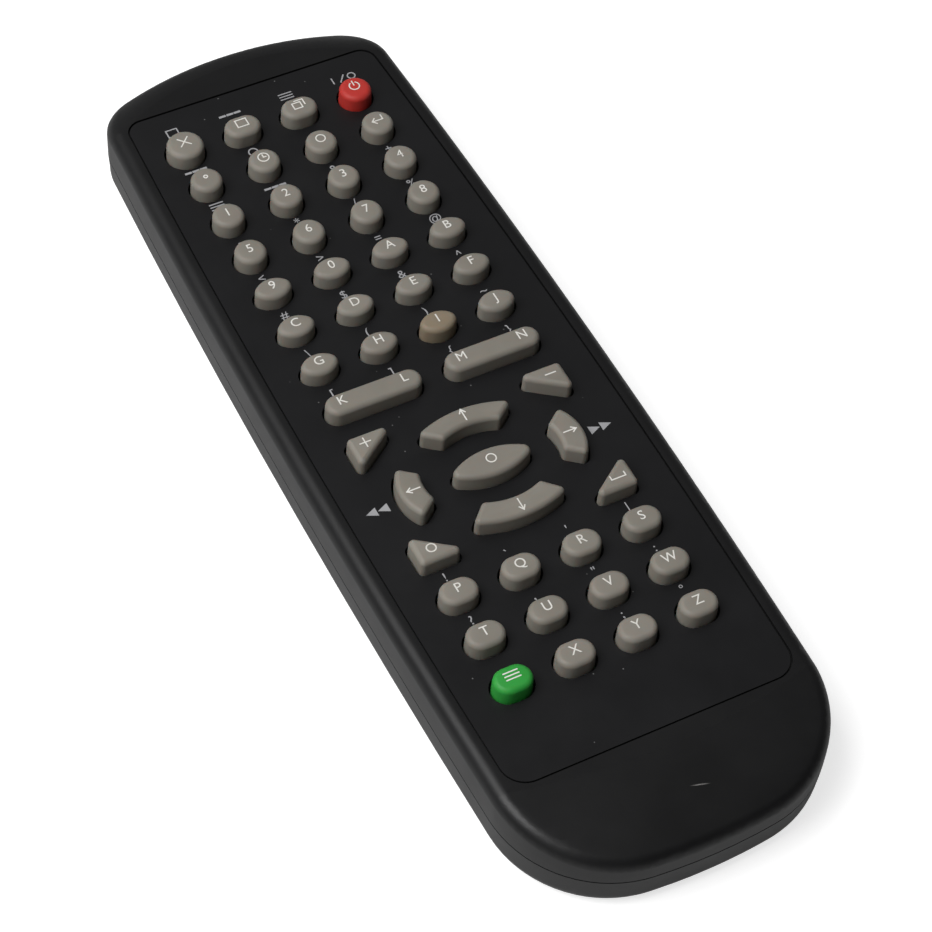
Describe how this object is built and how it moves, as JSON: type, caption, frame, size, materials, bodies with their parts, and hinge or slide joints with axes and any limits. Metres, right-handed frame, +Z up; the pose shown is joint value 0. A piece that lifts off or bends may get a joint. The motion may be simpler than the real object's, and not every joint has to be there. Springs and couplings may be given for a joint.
{
  "type": "infrared remote control",
  "caption": "Handheld infrared remote with grey rubber keys, a direction pad of curved keys, rocking bar keys, a black two-shell case and a sliding battery cover.",
  "frame": {"origin": "under the middle of the case, on the surface that it lies on", "axes": "+X across the keys to the right, +Y along the case to the infrared end, +Z up out of the key side"},
  "size_m": [0.064, 0.195, 0.0194],
  "materials": {
    "case_plastic": "fine matt moulded ABS",
    "faceplate_plastic": "satin printed polycarbonate",
    "key_silicone": "matt silicone rubber",
    "tan_silicone": "matt silicone rubber",
    "red_silicone": "matt silicone rubber",
    "green_silicone": "matt silicone rubber",
    "mat_silicone": "matt silicone rubber",
    "board_laminate": "paper laminate with solder mask",
    "led_resin": "tinted epoxy resin",
    "cell_can": "printed sleeve over a steel can",
    "contact_steel": "nickel plated spring steel"
  },
  "bodies": {
    "case": {"upper_shell": "case_plastic", "lower_shell": "case_plastic", "faceplate": "faceplate_plastic", "key_mat": "mat_silicone", "circuit_board": "board_laminate", "infrared_led": "led_resin", "aaa_cells": "cell_can", "battery_contacts": "contact_steel"},
    "battery_cover": {"battery_cover": "case_plastic"},
    "key_escape": {"key_escape": "key_silicone"},
    "key_program": {"key_program": "key_silicone"},
    "key_copy": {"key_copy": "key_silicone"},
    "key_power": {"key_power": "red_silicone"},
    "key_method": {"key_method": "key_silicone"},
    "key_time": {"key_time": "key_silicone"},
    "key_clear": {"key_clear": "key_silicone"},
    "key_enter": {"key_enter": "key_silicone"},
    "key_1": {"key_1": "key_silicone"},
    "key_2": {"key_2": "key_silicone"},
    "key_3": {"key_3": "key_silicone"},
    "key_4": {"key_4": "key_silicone"},
    "key_5": {"key_5": "key_silicone"},
    "key_6": {"key_6": "key_silicone"},
    "key_7": {"key_7": "key_silicone"},
    "key_8": {"key_8": "key_silicone"},
    "key_9": {"key_9": "key_silicone"},
    "key_0": {"key_0": "key_silicone"},
    "key_a": {"key_a": "key_silicone"},
    "key_b": {"key_b": "key_silicone"},
    "key_c": {"key_c": "key_silicone"},
    "key_d": {"key_d": "key_silicone"},
    "key_e": {"key_e": "key_silicone"},
    "key_f": {"key_f": "key_silicone"},
    "key_g": {"key_g": "key_silicone"},
    "key_h": {"key_h": "key_silicone"},
    "key_i": {"key_i": "tan_silicone"},
    "key_j": {"key_j": "key_silicone"},
    "key_insert": {"key_insert": "key_silicone"},
    "key_delete": {"key_delete": "key_silicone"},
    "key_o": {"key_o": "key_silicone"},
    "key_space": {"key_space": "key_silicone"},
    "key_previous": {"key_previous": "key_silicone"},
    "key_next": {"key_next": "key_silicone"},
    "key_left": {"key_left": "key_silicone"},
    "key_right": {"key_right": "key_silicone"},
    "key_capitals": {"key_capitals": "key_silicone"},
    "key_p": {"key_p": "key_silicone"},
    "key_q": {"key_q": "key_silicone"},
    "key_r": {"key_r": "key_silicone"},
    "key_s": {"key_s": "key_silicone"},
    "key_t": {"key_t": "key_silicone"},
    "key_u": {"key_u": "key_silicone"},
    "key_v": {"key_v": "key_silicone"},
    "key_w": {"key_w": "key_silicone"},
    "key_x": {"key_x": "key_silicone"},
    "key_y": {"key_y": "key_silicone"},
    "key_z": {"key_z": "key_silicone"},
    "key_alternate": {"key_alternate": "green_silicone"},
    "key_k_l": {"key_k_l": "key_silicone"},
    "key_m_n": {"key_m_n": "key_silicone"}
  },
  "joints": [
    {"name": "press_escape", "type": "slide", "parent": "case", "child": "key_escape", "axis": [0, 0, -1], "range_m": [0, 0.0008], "stiffness_N_per_m": 400},
    {"name": "press_program", "type": "slide", "parent": "case", "child": "key_program", "axis": [0, 0, -1], "range_m": [0, 0.0008], "stiffness_N_per_m": 400},
    {"name": "press_copy", "type": "slide", "parent": "case", "child": "key_copy", "axis": [0, 0, -1], "range_m": [0, 0.0008], "stiffness_N_per_m": 400},
    {"name": "press_power", "type": "slide", "parent": "case", "child": "key_power", "axis": [0, 0, -1], "range_m": [0, 0.0008], "stiffness_N_per_m": 400},
    {"name": "press_method", "type": "slide", "parent": "case", "child": "key_method", "axis": [0, 0, -1], "range_m": [0, 0.0008], "stiffness_N_per_m": 400},
    {"name": "press_time", "type": "slide", "parent": "case", "child": "key_time", "axis": [0, 0, -1], "range_m": [0, 0.0008], "stiffness_N_per_m": 400},
    {"name": "press_clear", "type": "slide", "parent": "case", "child": "key_clear", "axis": [0, 0, -1], "range_m": [0, 0.0008], "stiffness_N_per_m": 400},
    {"name": "press_enter", "type": "slide", "parent": "case", "child": "key_enter", "axis": [0, 0, -1], "range_m": [0, 0.0008], "stiffness_N_per_m": 400},
    {"name": "press_1", "type": "slide", "parent": "case", "child": "key_1", "axis": [0, 0, -1], "range_m": [0, 0.0008], "stiffness_N_per_m": 400},
    {"name": "press_2", "type": "slide", "parent": "case", "child": "key_2", "axis": [0, 0, -1], "range_m": [0, 0.0008], "stiffness_N_per_m": 400},
    {"name": "press_3", "type": "slide", "parent": "case", "child": "key_3", "axis": [0, 0, -1], "range_m": [0, 0.0008], "stiffness_N_per_m": 400},
    {"name": "press_4", "type": "slide", "parent": "case", "child": "key_4", "axis": [0, 0, -1], "range_m": [0, 0.0008], "stiffness_N_per_m": 400},
    {"name": "press_5", "type": "slide", "parent": "case", "child": "key_5", "axis": [0, 0, -1], "range_m": [0, 0.0008], "stiffness_N_per_m": 400},
    {"name": "press_6", "type": "slide", "parent": "case", "child": "key_6", "axis": [0, 0, -1], "range_m": [0, 0.0008], "stiffness_N_per_m": 400},
    {"name": "press_7", "type": "slide", "parent": "case", "child": "key_7", "axis": [0, 0, -1], "range_m": [0, 0.0008], "stiffness_N_per_m": 400},
    {"name": "press_8", "type": "slide", "parent": "case", "child": "key_8", "axis": [0, 0, -1], "range_m": [0, 0.0008], "stiffness_N_per_m": 400},
    {"name": "press_9", "type": "slide", "parent": "case", "child": "key_9", "axis": [0, 0, -1], "range_m": [0, 0.0008], "stiffness_N_per_m": 400},
    {"name": "press_0", "type": "slide", "parent": "case", "child": "key_0", "axis": [0, 0, -1], "range_m": [0, 0.0008], "stiffness_N_per_m": 400},
    {"name": "press_a", "type": "slide", "parent": "case", "child": "key_a", "axis": [0, 0, -1], "range_m": [0, 0.0008], "stiffness_N_per_m": 400},
    {"name": "press_b", "type": "slide", "parent": "case", "child": "key_b", "axis": [0, 0, -1], "range_m": [0, 0.0008], "stiffness_N_per_m": 400},
    {"name": "press_c", "type": "slide", "parent": "case", "child": "key_c", "axis": [0, 0, -1], "range_m": [0, 0.0008], "stiffness_N_per_m": 400},
    {"name": "press_d", "type": "slide", "parent": "case", "child": "key_d", "axis": [0, 0, -1], "range_m": [0, 0.0008], "stiffness_N_per_m": 400},
    {"name": "press_e", "type": "slide", "parent": "case", "child": "key_e", "axis": [0, 0, -1], "range_m": [0, 0.0008], "stiffness_N_per_m": 400},
    {"name": "press_f", "type": "slide", "parent": "case", "child": "key_f", "axis": [0, 0, -1], "range_m": [0, 0.0008], "stiffness_N_per_m": 400},
    {"name": "press_g", "type": "slide", "parent": "case", "child": "key_g", "axis": [0, 0, -1], "range_m": [0, 0.0008], "stiffness_N_per_m": 400},
    {"name": "press_h", "type": "slide", "parent": "case", "child": "key_h", "axis": [0, 0, -1], "range_m": [0, 0.0008], "stiffness_N_per_m": 400},
    {"name": "press_i", "type": "slide", "parent": "case", "child": "key_i", "axis": [0, 0, -1], "range_m": [0, 0.0008], "stiffness_N_per_m": 400},
    {"name": "press_j", "type": "slide", "parent": "case", "child": "key_j", "axis": [0, 0, -1], "range_m": [0, 0.0008], "stiffness_N_per_m": 400},
    {"name": "press_insert", "type": "slide", "parent": "case", "child": "key_insert", "axis": [0, 0, -1], "range_m": [0, 0.0008], "stiffness_N_per_m": 400},
    {"name": "press_delete", "type": "slide", "parent": "case", "child": "key_delete", "axis": [0, 0, -1], "range_m": [0, 0.0008], "stiffness_N_per_m": 400},
    {"name": "press_o", "type": "slide", "parent": "case", "child": "key_o", "axis": [0, 0, -1], "range_m": [0, 0.0008], "stiffness_N_per_m": 400},
    {"name": "press_space", "type": "slide", "parent": "case", "child": "key_space", "axis": [0, 0, -1], "range_m": [0, 0.0008], "stiffness_N_per_m": 400},
    {"name": "press_previous", "type": "slide", "parent": "case", "child": "key_previous", "axis": [0, 0, -1], "range_m": [0, 0.0008], "stiffness_N_per_m": 400},
    {"name": "press_next", "type": "slide", "parent": "case", "child": "key_next", "axis": [0, 0, -1], "range_m": [0, 0.0008], "stiffness_N_per_m": 400},
    {"name": "press_left", "type": "slide", "parent": "case", "child": "key_left", "axis": [0, 0, -1], "range_m": [0, 0.0008], "stiffness_N_per_m": 400},
    {"name": "press_right", "type": "slide", "parent": "case", "child": "key_right", "axis": [0, 0, -1], "range_m": [0, 0.0008], "stiffness_N_per_m": 400},
    {"name": "press_capitals", "type": "slide", "parent": "case", "child": "key_capitals", "axis": [0, 0, -1], "range_m": [0, 0.0008], "stiffness_N_per_m": 400},
    {"name": "press_p", "type": "slide", "parent": "case", "child": "key_p", "axis": [0, 0, -1], "range_m": [0, 0.0008], "stiffness_N_per_m": 400},
    {"name": "press_q", "type": "slide", "parent": "case", "child": "key_q", "axis": [0, 0, -1], "range_m": [0, 0.0008], "stiffness_N_per_m": 400},
    {"name": "press_r", "type": "slide", "parent": "case", "child": "key_r", "axis": [0, 0, -1], "range_m": [0, 0.0008], "stiffness_N_per_m": 400},
    {"name": "press_s", "type": "slide", "parent": "case", "child": "key_s", "axis": [0, 0, -1], "range_m": [0, 0.0008], "stiffness_N_per_m": 400},
    {"name": "press_t", "type": "slide", "parent": "case", "child": "key_t", "axis": [0, 0, -1], "range_m": [0, 0.0008], "stiffness_N_per_m": 400},
    {"name": "press_u", "type": "slide", "parent": "case", "child": "key_u", "axis": [0, 0, -1], "range_m": [0, 0.0008], "stiffness_N_per_m": 400},
    {"name": "press_v", "type": "slide", "parent": "case", "child": "key_v", "axis": [0, 0, -1], "range_m": [0, 0.0008], "stiffness_N_per_m": 400},
    {"name": "press_w", "type": "slide", "parent": "case", "child": "key_w", "axis": [0, 0, -1], "range_m": [0, 0.0008], "stiffness_N_per_m": 400},
    {"name": "press_x", "type": "slide", "parent": "case", "child": "key_x", "axis": [0, 0, -1], "range_m": [0, 0.0008], "stiffness_N_per_m": 400},
    {"name": "press_y", "type": "slide", "parent": "case", "child": "key_y", "axis": [0, 0, -1], "range_m": [0, 0.0008], "stiffness_N_per_m": 400},
    {"name": "press_z", "type": "slide", "parent": "case", "child": "key_z", "axis": [0, 0, -1], "range_m": [0, 0.0008], "stiffness_N_per_m": 400},
    {"name": "press_alternate", "type": "slide", "parent": "case", "child": "key_alternate", "axis": [0, 0, -1], "range_m": [0, 0.0008], "stiffness_N_per_m": 400},
    {"name": "rock_k_l", "type": "hinge", "parent": "case", "child": "key_k_l", "pos_m": [-0.0124, 0.00602, 0.0145], "axis": [0, 1, 0], "range_deg": [-5, 5], "stiffness_Nm_per_rad": 0.05},
    {"name": "rock_m_n", "type": "hinge", "parent": "case", "child": "key_m_n", "pos_m": [0.0116, 0.00602, 0.0145], "axis": [0, 1, 0], "range_deg": [-5, 5], "stiffness_Nm_per_rad": 0.05},
    {"name": "cover_slide", "type": "slide", "parent": "case", "child": "battery_cover", "axis": [0, -1, 0], "range_m": [0, 0.052]}
  ]
}
